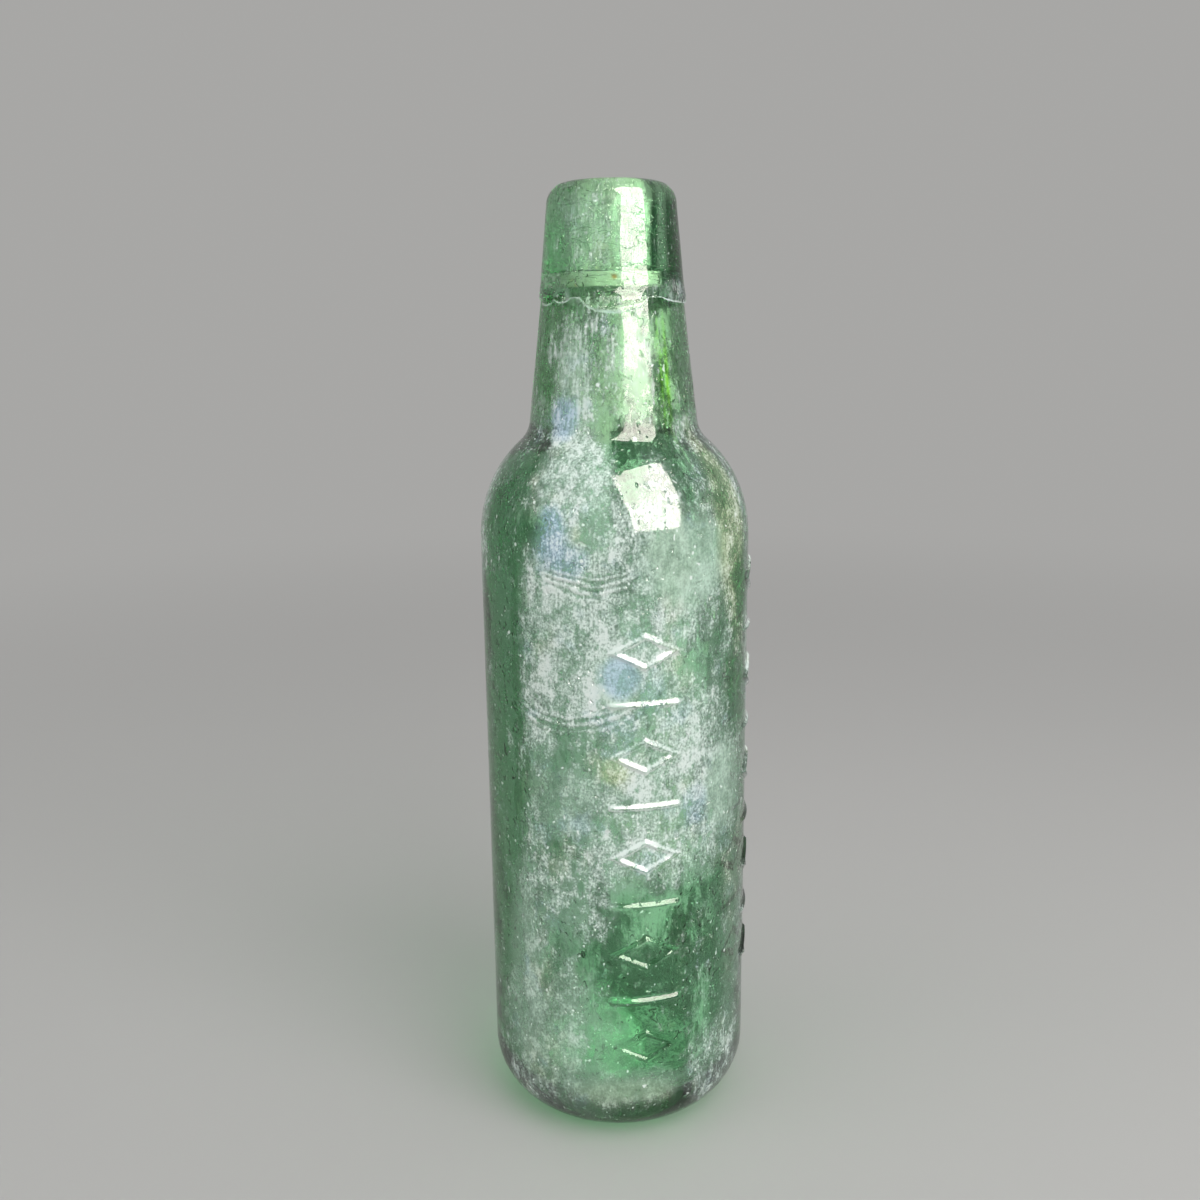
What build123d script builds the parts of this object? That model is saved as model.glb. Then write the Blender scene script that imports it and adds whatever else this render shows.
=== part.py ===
from build123d import *

import os
from math import atan, atan2, cos, hypot, radians, sin, sqrt, tan

# An old mineral water bottle in heavy glass, 65 mm across and 228 mm tall, with a marble stopper.
# Four pieces: the blown body, the lip that was laid on its neck, the rubber ring held in the
# groove between the two, and the loose glass marble that gas pressure held against that ring.
# Millimetres, +Z up, the origin on the bottle's axis in the plane that the foot stands on.
# -Y is the front, and +X is to the right of it.

# Body
body_diameter = 65.0
side_height = 147.5  # the straight side ends here and the shoulder begins
heel_radius = 15.4
foot_width = 2.6  # flat ring that the bottle stands on
kick_height = 5.0  # hollow under the base
shoulder_radius = 30.3
body_wall = 7.5
base_thickness = 8.0  # up to the lowest line of the trough round the floor
inner_heel_radius = 11.5
floor_hump_radius = 13.3  # of the hump in the middle of the floor, over the kick

# Neck
neck_height = 55.1  # from the top of the straight side to the lip's lower edge
shoulder_step = 9.2  # the neck's line meets the top of the straight side this far inside it
neck_wall = 3.53  # measured level
neck_fillet = 6.6  # hollow curve between the shoulder and the neck
inner_neck_fillet = 9.0
rim_rise = 1.9  # the neck's cut end reaches this far up inside the lip
rim_bevel = 1.9
seat_ledge_thickness = 1.5  # inner edge of the neck's end, under the ring

# Marble and its fits
marble_diameter = 20.0
marble_azimuth = -14.8  # where it lies, in degrees right of the front
neck_clearance = 3.1  # between the marble and the neck's wall below the lip
ledge_clearance = 0.4  # between the marble and the neck's narrow end
rest_gap = 0.25  # between the marble and the floor
seat_gap = 0.1  # between the marble and the ring
bore_undersize = 0.6  # the lip's bore is this much smaller in radius than the marble

# Seal ring
ring_height = 3.7
ring_undersize = 1.6  # its hole is this much smaller in radius than the marble
ring_round = 0.9
groove_depth = 2.8  # beyond the bore

# Lip
lip_height = 25.6
lip_overhang = 0.42  # how far the lip's lower edge stands out from the neck
lip_edge_roll = 0.55
lip_taper = 5.4  # degrees each side
lip_round = 4.8
mouth_round = 0.5

# Runs of glass below the lip's edge
run_half_width = 7.4
run_drop = 3.5
run_thickness = 0.42
run_lap = 0.35  # they reach this far up into the lip
# Azimuth in degrees right of the front, then shares of the half width and of the drop
run_shares = [
    (1.0, 1.0, 1.0),
    (-43.0, 0.32, 0.3),
    (-62.0, 0.4, 0.45),
    (72.0, 1.2, 0.33),
    (139.0, 0.7, 0.66),
    (-128.0, 0.9, 0.45),
]

# Moulded ornament: upright columns of raised lozenges with a bar between each two
relief_height = 0.7
relief_root = 0.5  # how deep it reaches into the wall, to join it
ornament_width = 17.0
ornament_pitch = 12.2
lozenge_height = 8.6
line_width = 1.3
front_column_azimuth = 11.0  # degrees right of the front
front_column_bottom = 28.0  # height of its lowest motif
front_column_margin = 20.0  # least distance from a motif to the top of the straight side
right_column_azimuth = 86.0
right_column_bottom = 40.0
right_column_margin = 9.0

cut_overrun = 2.0  # tools and blanks reach this far past what they shape

body_radius = body_diameter / 2
inner_radius = body_radius - body_wall
marble_radius = marble_diameter / 2
neck_bore_radius = marble_radius + neck_clearance  # at the lip's lower edge
neck_top_radius = neck_bore_radius + neck_wall
neck_slope = (body_radius - shoulder_step - neck_top_radius) / neck_height
neck_lean = atan(neck_slope)
lip_edge_height = side_height + neck_height
rim_height = lip_edge_height + rim_rise
ledge_radius = marble_radius + ledge_clearance
bore_radius = marble_radius - bore_undersize
groove_radius = bore_radius + groove_depth
ring_bore_radius = marble_radius - ring_undersize
groove_top = rim_height + ring_height
bottle_height = lip_edge_height + lip_height
foot_radius = body_radius - heel_radius
trough_radius = inner_radius - inner_heel_radius
heel_to_hump = inner_heel_radius + floor_hump_radius
floor_rise = heel_to_hump - sqrt(heel_to_hump**2 - trough_radius**2)
floor_top = base_thickness + floor_rise
columns = [
    (front_column_azimuth, front_column_bottom, front_column_margin),
    (right_column_azimuth, right_column_bottom, right_column_margin),
]


def point(r, z):
    """A point of an upright half section, at radius r and height z."""
    return Vector(r, 0, z)


def arc_about(centre, start, end):
    """The short arc from start to end about a centre."""
    middle = (start - centre).normalized() + (end - centre).normalized()
    return ThreePointArc(start, centre + middle.normalized() * (start - centre).length, end)


def section_solid(edges):
    """The solid that a closed half section sweeps round the bottle's axis."""
    return revolve(make_face(edges), axis=Axis.Z)


def shoulder_and_neck(side_radius, arc_radius, fillet, neck_point):
    """Centres and tangent points of a shoulder arc, and of the hollow fillet from it into the neck."""
    up_neck = Vector(-sin(neck_lean), 0, cos(neck_lean))
    outward = Vector(cos(neck_lean), 0, sin(neck_lean))
    shoulder_centre = point(side_radius - arc_radius, side_height)
    reach = neck_point + outward * fillet - shoulder_centre
    along = reach.dot(up_neck)
    down = along - sqrt(along**2 - reach.dot(reach) + (arc_radius + fillet) ** 2)
    fillet_centre = neck_point + outward * fillet - up_neck * down
    to_fillet = (fillet_centre - shoulder_centre).normalized()
    shoulder_end = shoulder_centre + to_fillet * arc_radius
    neck_start = fillet_centre - outward * fillet
    return shoulder_centre, shoulder_end, fillet_centre, neck_start


def facing(azimuth, z=0.0):
    """A plane at height z that looks outwards at an azimuth, in degrees right of the front."""
    turn = radians(azimuth)
    return Plane(
        origin=(0, 0, z),
        x_dir=(cos(turn), sin(turn), 0),
        z_dir=(sin(turn), -cos(turn), 0),
    )


def outer_wall():
    """Edges of the body's outside, from the middle of the kick to the neck's cut end."""
    kick_edge = foot_radius - foot_width
    kick_sphere = (kick_edge**2 + kick_height**2) / (kick_height + kick_height)
    kick_centre = point(0, kick_height - kick_sphere)
    neck_top = point(neck_top_radius, lip_edge_height)
    shoulder_centre, shoulder_end, fillet_centre, neck_start = shoulder_and_neck(
        body_radius, shoulder_radius, neck_fillet, neck_top
    )
    heel_centre = point(foot_radius, heel_radius)
    rim_edge = point(neck_top_radius - rim_bevel, rim_height)
    return [
        arc_about(kick_centre, point(0, kick_height), point(kick_edge, 0)),
        Line(point(kick_edge, 0), point(foot_radius, 0)),
        arc_about(heel_centre, point(foot_radius, 0), point(body_radius, heel_radius)),
        Line(point(body_radius, heel_radius), point(body_radius, side_height)),
        arc_about(shoulder_centre, point(body_radius, side_height), shoulder_end),
        arc_about(fillet_centre, shoulder_end, neck_start),
        Line(neck_start, neck_top),
        Line(neck_top, rim_edge),
    ]


def inner_wall():
    """Edges of the body's inside, from the neck's cut end down to the hump of the floor."""
    # The cavity's top corner is a quarter round from under the ledge out to the neck's wall
    ledge_under = rim_height - seat_ledge_thickness
    neck_under = neck_bore_radius + neck_slope * (lip_edge_height - ledge_under)
    corner = (neck_under - ledge_radius) / (1 - neck_slope)
    neck_point = point(ledge_radius + corner, ledge_under - corner)
    shoulder_arc = shoulder_radius - body_wall
    shoulder_centre, shoulder_end, fillet_centre, neck_start = shoulder_and_neck(
        inner_radius, shoulder_arc, inner_neck_fillet, neck_point
    )
    heel_centre = point(trough_radius, base_thickness + inner_heel_radius)
    hump_centre = point(0, floor_top - floor_hump_radius)
    hump_edge = hump_centre + (heel_centre - hump_centre).normalized() * floor_hump_radius
    side_bottom = point(inner_radius, base_thickness + inner_heel_radius)
    trough_bottom = point(trough_radius, base_thickness)
    return [
        Line(point(ledge_radius, rim_height), point(ledge_radius, ledge_under)),
        arc_about(
            point(ledge_radius, ledge_under - corner),
            point(ledge_radius, ledge_under),
            neck_point,
        ),
        Line(neck_point, neck_start),
        arc_about(fillet_centre, neck_start, shoulder_end),
        arc_about(shoulder_centre, shoulder_end, point(inner_radius, side_height)),
        Line(point(inner_radius, side_height), side_bottom),
        arc_about(heel_centre, side_bottom, trough_bottom),
        arc_about(heel_centre, trough_bottom, hump_edge),
        arc_about(hump_centre, hump_edge, point(0, floor_top)),
    ]


def lozenge():
    """An outlined lozenge, as wide as the ornament column."""
    outline = [
        (-ornament_width / 2, 0),
        (0, -lozenge_height / 2),
        (ornament_width / 2, 0),
        (0, lozenge_height / 2),
    ]
    outer = make_face(Polyline(*outline, close=True))
    return outer - offset(outer, amount=-line_width)


def relief_column(azimuth, bottom, margin):
    """One upright column of lozenges and bars, as raised lines on the straight side."""
    on_floor = (Align.CENTER, Align.CENTER, Align.MIN)
    outer = Cylinder(body_radius + relief_height, side_height, align=on_floor)
    core = Cylinder(body_radius - relief_root, side_height, align=on_floor)
    band = outer - core
    spaces = int((side_height - margin - bottom) / ornament_pitch)
    raised = []
    for number in range(spaces + 1):
        motif = lozenge() if number % 2 == 0 else Rectangle(ornament_width, line_width)
        place = facing(azimuth, bottom + number * ornament_pitch)
        prism = extrude(place * motif, body_radius + cut_overrun)
        raised += (band & prism).solids()
    return raised


def bottle_body():
    """The blown body: kicked base, straight side, round shoulder and tapered neck, with its ornament."""
    axis_line = Line(point(0, floor_top), point(0, kick_height))
    rim = Line(point(neck_top_radius - rim_bevel, rim_height), point(ledge_radius, rim_height))
    shell = section_solid([*outer_wall(), rim, *inner_wall(), axis_line])
    reliefs = [solid for column in columns for solid in relief_column(*column)]
    return shell + reliefs


def glass_run(azimuth, half_width, drop):
    """A lobe of lip glass that ran down over the neck before it set."""
    low = lip_edge_height - drop - cut_overrun
    high = lip_edge_height + run_lap
    low_radius = neck_top_radius + neck_slope * (lip_edge_height - low)
    high_radius = neck_top_radius - neck_slope * run_lap
    film = section_solid(
        Polyline(
            point(low_radius, low),
            point(low_radius + run_thickness, low),
            point(high_radius + run_thickness, high),
            point(high_radius, high),
            close=True,
        )
    )
    lobe = make_face(Ellipse(half_width, drop).edges())
    prism = extrude(facing(azimuth, lip_edge_height) * lobe, low_radius + cut_overrun)
    return film & prism


def applied_lip():
    """The tapered lip: a band of glass laid on the neck's end and tooled, with its straight bore."""
    low_radius = neck_top_radius + lip_overhang
    roll_top = lip_edge_height + lip_edge_roll
    round_start = bottle_height - lip_round
    top_radius = low_radius - tan(radians(lip_taper)) * (round_start - roll_top)
    round_centre = point(top_radius - lip_round, round_start)
    mouth_centre = point(bore_radius + mouth_round, bottle_height - mouth_round)
    band = section_solid(
        [
            Line(point(neck_top_radius, lip_edge_height), point(low_radius, roll_top)),
            Line(point(low_radius, roll_top), point(top_radius, round_start)),
            arc_about(
                round_centre,
                point(top_radius, round_start),
                point(top_radius - lip_round, bottle_height),
            ),
            Line(
                point(top_radius - lip_round, bottle_height),
                point(bore_radius + mouth_round, bottle_height),
            ),
            arc_about(
                mouth_centre,
                point(bore_radius + mouth_round, bottle_height),
                point(bore_radius, bottle_height - mouth_round),
            ),
            Line(point(bore_radius, bottle_height - mouth_round), point(bore_radius, groove_top)),
            Line(point(bore_radius, groove_top), point(groove_radius, groove_top)),
            Line(point(groove_radius, groove_top), point(groove_radius, rim_height)),
            Line(point(groove_radius, rim_height), point(neck_top_radius - rim_bevel, rim_height)),
            Line(
                point(neck_top_radius - rim_bevel, rim_height),
                point(neck_top_radius, lip_edge_height),
            ),
        ]
    )
    end_cone = section_solid(
        Polyline(
            point(0, lip_edge_height),
            point(neck_top_radius, lip_edge_height),
            point(neck_top_radius - rim_bevel, rim_height),
            point(0, rim_height),
            close=True,
        )
    )
    lobes = [
        glass_run(azimuth, width_share * run_half_width, drop_share * run_drop) - end_cone
        for azimuth, width_share, drop_share in run_shares
    ]
    return band + lobes


def seal_ring():
    """The rubber ring: square where it fills the groove, rounded where the marble meets it."""
    low_centre = point(ring_bore_radius + ring_round, rim_height + ring_round)
    high_centre = point(ring_bore_radius + ring_round, groove_top - ring_round)
    return section_solid(
        [
            Line(point(low_centre.X, rim_height), point(groove_radius, rim_height)),
            Line(point(groove_radius, rim_height), point(groove_radius, groove_top)),
            Line(point(groove_radius, groove_top), point(high_centre.X, groove_top)),
            arc_about(
                high_centre,
                point(high_centre.X, groove_top),
                point(ring_bore_radius, high_centre.Z),
            ),
            Line(point(ring_bore_radius, high_centre.Z), point(ring_bore_radius, low_centre.Z)),
            arc_about(
                low_centre,
                point(ring_bore_radius, low_centre.Z),
                point(low_centre.X, rim_height),
            ),
        ]
    )


def marble_rest():
    """The marble's centre where it lies in the trough of the floor."""
    turn = radians(marble_azimuth)
    lying = base_thickness + rest_gap + marble_radius
    return Vector(trough_radius * sin(turn), -trough_radius * cos(turn), lying)


def marble_seat():
    """The marble's centre where it closes the bottle, up against the ring."""
    to_round = marble_radius + ring_round + seat_gap
    below = sqrt(to_round**2 - (ring_bore_radius + ring_round) ** 2)
    return Vector(0, 0, rim_height + ring_round - below)


def marble():
    """The loose glass marble."""
    return Pos(*marble_rest()) * Sphere(marble_radius)


os.makedirs("parts", exist_ok=True)
pieces = {
    "bottle_body": bottle_body(),
    "applied_lip": applied_lip(),
    "seal_ring": seal_ring(),
    "marble": marble(),
}
for name, solid in pieces.items():
    export_step(solid, f"parts/{name}.step")

travel = marble_seat() - marble_rest()
lean = atan2(hypot(travel.X, travel.Y), travel.Z)
print("bottle height", round(bottle_height, 2))
print("marble rest", marble_rest(), "seat", marble_seat())
print("marble travel", round(travel.length, 3), "direction", travel.normalized(), "lean", round(lean, 4))
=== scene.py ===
from math import atan, atan2, cos, degrees, hypot, pi, radians, sin, sqrt, tan
from random import Random

import bpy
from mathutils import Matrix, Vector


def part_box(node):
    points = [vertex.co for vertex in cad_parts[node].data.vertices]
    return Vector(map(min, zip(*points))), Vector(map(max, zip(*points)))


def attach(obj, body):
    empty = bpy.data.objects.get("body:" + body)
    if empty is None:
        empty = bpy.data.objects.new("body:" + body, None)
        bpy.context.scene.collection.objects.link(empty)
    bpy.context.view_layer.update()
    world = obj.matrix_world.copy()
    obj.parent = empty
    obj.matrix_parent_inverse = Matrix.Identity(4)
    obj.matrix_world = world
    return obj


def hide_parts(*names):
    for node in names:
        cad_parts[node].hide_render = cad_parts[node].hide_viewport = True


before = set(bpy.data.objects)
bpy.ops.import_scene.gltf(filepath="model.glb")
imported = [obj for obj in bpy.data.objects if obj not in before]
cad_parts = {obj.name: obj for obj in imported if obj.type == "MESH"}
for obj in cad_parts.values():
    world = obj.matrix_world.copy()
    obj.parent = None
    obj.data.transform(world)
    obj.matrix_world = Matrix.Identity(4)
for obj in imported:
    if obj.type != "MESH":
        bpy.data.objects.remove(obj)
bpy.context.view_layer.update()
print("frame loaded:", ", ".join(sorted(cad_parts)))

mm = 0.001        # the bottle's sizes are in millimetres, and go to Blender in metres
weldGap = 0.004        # points nearer than this become one
scene = bpy.context.scene


# Shaping by hand: an upright half section is drawn from point to point, each stroke in a number of steps,
# and then turned round the bottle's axis

def leaveAll():
    if bpy.context.mode != "OBJECT":
        bpy.ops.object.mode_set(mode="OBJECT")
    bpy.ops.object.select_all(action="DESELECT")


def takeUp(piece):
    leaveAll()
    piece.select_set(True)
    bpy.context.view_layer.objects.active = piece


class Section:
    def __init__(self, name, start):
        leaveAll()
        bpy.ops.mesh.primitive_plane_add(size=mm, location=(start[0] * mm, 0, start[1] * mm))
        self.piece = bpy.context.object
        self.piece.name = self.piece.data.name = name
        bpy.ops.object.transform_apply(location=True)
        bpy.ops.object.mode_set(mode="EDIT")
        bpy.ops.mesh.select_mode(type="VERT")
        bpy.ops.mesh.select_all(action="SELECT")
        bpy.ops.mesh.merge(type="CENTER")        # one point, to draw from
        self.at = Vector(start)

    def line(self, end, steps=1):
        stride = (Vector(end) - self.at) * (mm / steps)
        for step in range(steps):
            bpy.ops.mesh.extrude_vertices_move(TRANSFORM_OT_translate={"value": (stride.x, 0, stride.y)})
        self.at = Vector(end)

    def arc(self, centre, end, steps):
        before, after = self.at - Vector(centre), Vector(end) - Vector(centre)
        turn = atan2(after.y, after.x) - atan2(before.y, before.x)
        turn = (turn + pi) % (2 * pi) - pi       # the short way round
        bpy.ops.mesh.spin(steps=steps, angle=turn, center=(centre[0] * mm, 0, centre[1] * mm), axis=(0, 1, 0))
        self.at = Vector(end)

    def turned(self, sectors):
        # starts 90 degrees right of the front; each sector is its width in degrees and its steps
        bpy.ops.mesh.select_all(action="SELECT")
        for wide, steps in sectors:
            bpy.ops.mesh.spin(steps=steps, angle=-radians(wide), center=(0, 0, 0), axis=(0, 0, 1))
        bpy.ops.mesh.select_all(action="SELECT")
        bpy.ops.mesh.remove_doubles(threshold=weldGap * mm)
        bpy.ops.mesh.normals_make_consistent(inside=False)
        leaveAll()
        return self.piece


def roundness(place):
    # radius, degrees right of the front, and height of a place on a mesh, in millimetres
    return hypot(place.x, place.y) / mm, degrees(atan2(place.x, -place.y)), place.z / mm


def easing(value, low, high):
    share = min(1, max(0, (value - low) / (high - low)))
    return share * share * (3 - 2 * share)


def fadeEnds(height, low, lowFull, highFull, high):
    # 1 from lowFull to highFull, and nothing below low or above high
    return easing(height, low, lowFull) * (1 - easing(height, highFull, high))


def push(piece, name, share, depth, clouds=None, way="NORMAL"):
    # moves the surface by depth times each point's share; clouds only ever sink it, by up to depth
    group = piece.vertex_groups.new(name=name)
    for vertex in piece.data.vertices:
        weight = share(*roundness(vertex.co))
        if weight > 0:
            group.add([vertex.index], min(1, weight), "REPLACE")
    takeUp(piece)
    bpy.ops.object.modifier_add(type="DISPLACE")
    modifier = piece.modifiers[-1]
    modifier.vertex_group = name
    modifier.direction = way
    modifier.strength = depth * mm
    modifier.mid_level = 0
    if clouds:
        texture = bpy.data.textures.new(name, "CLOUDS")
        texture.noise_scale = clouds * mm
        texture.noise_depth = 2
        modifier.texture = texture
        modifier.mid_level = 1
    bpy.ops.object.modifier_apply(modifier=modifier.name)
    piece.vertex_groups.remove(piece.vertex_groups[name])


def paint(piece, name, share):
    # a value from 0 to 1 at each point, for the piece's finish to read
    marks = piece.data.attributes.new(name, "FLOAT", "POINT")
    for vertex, mark in zip(piece.data.vertices, marks.data):
        mark.value = share(*roundness(vertex.co))


def chooseFaces(piece, wanted):
    takeUp(piece)
    bpy.ops.object.mode_set(mode="EDIT")
    bpy.ops.mesh.select_mode(type="FACE")
    bpy.ops.mesh.select_all(action="DESELECT")
    bpy.ops.object.mode_set(mode="OBJECT")
    for face in piece.data.polygons:
        face.select = wanted(*roundness(face.center))
    bpy.ops.object.mode_set(mode="EDIT")


def smooth(piece, crease=40):
    takeUp(piece)
    bpy.ops.object.shade_smooth_by_angle(angle=radians(crease))
    leaveAll()


def bubbles(name, place, seed, count, size, stretch):
    # closed pockets of air, which face into themselves because they lie inside glass
    chance = Random(seed)
    smallest, lean = 0.45, 0.12        # lean is in radians
    made = []
    for number in range(count):
        radius = size * chance.uniform(smallest, 1.0) ** 2
        leaveAll()
        bpy.ops.mesh.primitive_ico_sphere_add(
            subdivisions=2, radius=radius * mm, location=place(chance),
            scale=(1, 1, chance.uniform(1, stretch)), rotation=(0, chance.uniform(-lean, lean), 0))
        made.append(bpy.context.object)
    for bubble in made:
        bubble.select_set(True)
    bpy.ops.object.join()
    cluster = bpy.context.object
    cluster.name = name
    bpy.ops.object.transform_apply(location=True, rotation=True, scale=True)
    bpy.ops.object.mode_set(mode="EDIT")
    bpy.ops.mesh.select_all(action="SELECT")
    bpy.ops.mesh.flip_normals()
    leaveAll()
    return cluster


def joinTo(piece, *others):
    takeUp(piece)
    for other in others:
        other.select_set(True)
    bpy.ops.object.join()
    leaveAll()


def around(radius, azimuth, height):
    return (radius * sin(radians(azimuth)) * mm, -radius * cos(radians(azimuth)) * mm, height * mm)


# The blown body

body = {
    "radius": 32.5,
    "wall": 7.5,
    "sideTop": 147.5,
    "heel": 15.4,
    "footWidth": 2.6,
    "kick": 5.0,
    "shoulder": 30.3,
    "base": 8.0,
    "innerHeel": 11.5,
    "hump": 13.3,
    "neckRise": 55.1,
    "neckOuter": 16.63,
    "neckInner": 13.1,
    "neckSlope": 0.12105,
    "neckFillet": 6.6,
    "innerFillet": 9.0,
    "rimRise": 1.9,
    "rimBevel": 1.9,
    "ledge": 10.4,
    "ledgeDepth": 1.5,
    "outerWave": 0.16,       # most that the outside sinks by
    "outerWaveSize": 26,
    "outerWaveEnds": (4, 20, 190, 200),        # heights that it fades between
    "innerWave": 0.7,
    "innerWaveSize": 17,
    "innerWaveEnds": (20, 34, 186, 198),
    "seeds": {"seed": 7, "count": 70, "size": 0.62, "stretch": 3.2},
    "seedHeights": (22, 196),
    "seedDepth": 0.3,        # share of the wall, each way from its middle
    "seedWall": 3.4,         # the wall that the seeds keep to above seedNeck
    "seedNeck": 150,
}
ornament = {
    "halfWidth": 8.5,
    "halfHeight": 4.3,
    "pitch": 12.2,
    "line": 1.3,
    "soften": 0.35,
    "rise": 0.68,
    "low": 23,          # between these heights the glass is cut fine enough for it
    "high": 142.7,
    "span": 17,         # degrees each side of a column's middle that are cut finer still
}
columns = (
    {"azimuth": 11, "bottom": 28, "motifs": 9},
    {"azimuth": 86, "bottom": 40, "motifs": 9},
)
neckTop = body["sideTop"] + body["neckRise"]
rimTop = neckTop + body["rimRise"]
neckLean = atan(body["neckSlope"])


def shoulderCurve(side, arcRadius, fillet, neckPoint):
    # a shoulder arc and the hollow fillet from it into the neck: centres and tangent points
    upNeck = Vector((-sin(neckLean), cos(neckLean)))
    outward = Vector((cos(neckLean), sin(neckLean)))
    arcCentre = Vector((side - arcRadius, body["sideTop"]))
    reach = neckPoint + outward * fillet - arcCentre
    along = reach.dot(upNeck)
    down = along - sqrt(along**2 - reach.dot(reach) + (arcRadius + fillet) ** 2)
    filletCentre = neckPoint + outward * fillet - upNeck * down
    arcEnd = arcCentre + (filletCentre - arcCentre).normalized() * arcRadius
    return arcCentre, arcEnd, filletCentre, filletCentre - outward * fillet


def innerOutline(inset=0.0):
    # points of the cavity's wall, moved off the glass by inset
    radius = body["radius"] - body["wall"]
    under = rimTop - body["ledgeDepth"]
    neckUnder = body["neckInner"] + body["neckSlope"] * (neckTop - under)
    corner = (neckUnder - body["ledge"]) / (1 - body["neckSlope"])
    neckPoint = Vector((body["ledge"] + corner - inset, under - corner))
    arcRadius = body["shoulder"] - body["wall"] - inset
    arcCentre, arcEnd, filletCentre, neckStart = shoulderCurve(
        radius - inset, arcRadius, body["innerFillet"] + inset, neckPoint)
    trough = radius - body["innerHeel"]
    reach = body["innerHeel"] + body["hump"]
    floorTop = body["base"] + reach - sqrt(reach**2 - trough**2)
    heelCentre = Vector((trough, body["base"] + body["innerHeel"]))
    humpCentre = Vector((0, floorTop - body["hump"]))
    return {
        "under": under, "corner": corner, "neckPoint": neckPoint, "neckStart": neckStart,
        "filletCentre": filletCentre, "arcEnd": arcEnd, "arcCentre": arcCentre,
        "sideTop": Vector((radius - inset, body["sideTop"])),
        "sideBottom": Vector((radius - inset, heelCentre.y)),
        "heelCentre": heelCentre,
        "humpEdge": humpCentre + (heelCentre - humpCentre).normalized() * body["hump"],
        "humpCentre": humpCentre, "floorTop": floorTop,
    }


def wallMiddle(height):
    # radius of the middle of the wall at a height, to tell the inside from the outside
    if height < body["sideTop"]:
        return body["radius"] - body["wall"] / 2
    middle = body["shoulder"] - body["wall"] / 2
    rise = min(middle, height - body["sideTop"])
    neck = (body["neckOuter"] + body["neckInner"]) / 2 + body["neckSlope"] * (neckTop - height)
    return max(neck, body["radius"] - body["shoulder"] + sqrt(middle**2 - rise**2))


def onOutside(radius, height):
    return height < body["base"] or radius > wallMiddle(height)


def reliefShare(radius, azimuth, height):
    # how far a moulded line stands out here, as a share of its full rise
    if radius < wallMiddle(height) or not ornament["low"] < height < ornament["high"]:
        return 0
    reach = ornament["line"] / 2 + ornament["soften"]
    best = 0
    for column in columns:
        turn = radians((azimuth - column["azimuth"] + 180) % 360 - 180)
        across = abs(body["radius"] * sin(turn))
        if abs(turn) > pi / 2 or across > ornament["halfWidth"] + reach:
            continue
        number = round((height - column["bottom"]) / ornament["pitch"])
        if not 0 <= number < column["motifs"]:
            continue
        up = abs(height - column["bottom"] - number * ornament["pitch"])
        if number % 2:
            away = hypot(max(0, across - ornament["halfWidth"] + ornament["line"] / 2), up)
        else:
            halfWidth, halfHeight = ornament["halfWidth"], ornament["halfHeight"]
            tall = halfWidth * halfHeight / hypot(halfWidth, halfHeight)
            away = abs((across / halfWidth + up / halfHeight - 1) * tall + ornament["line"] / 2)
        best = max(best, 0.5 + 0.5 * cos(pi * min(1, away / reach)))
    return best


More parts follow.
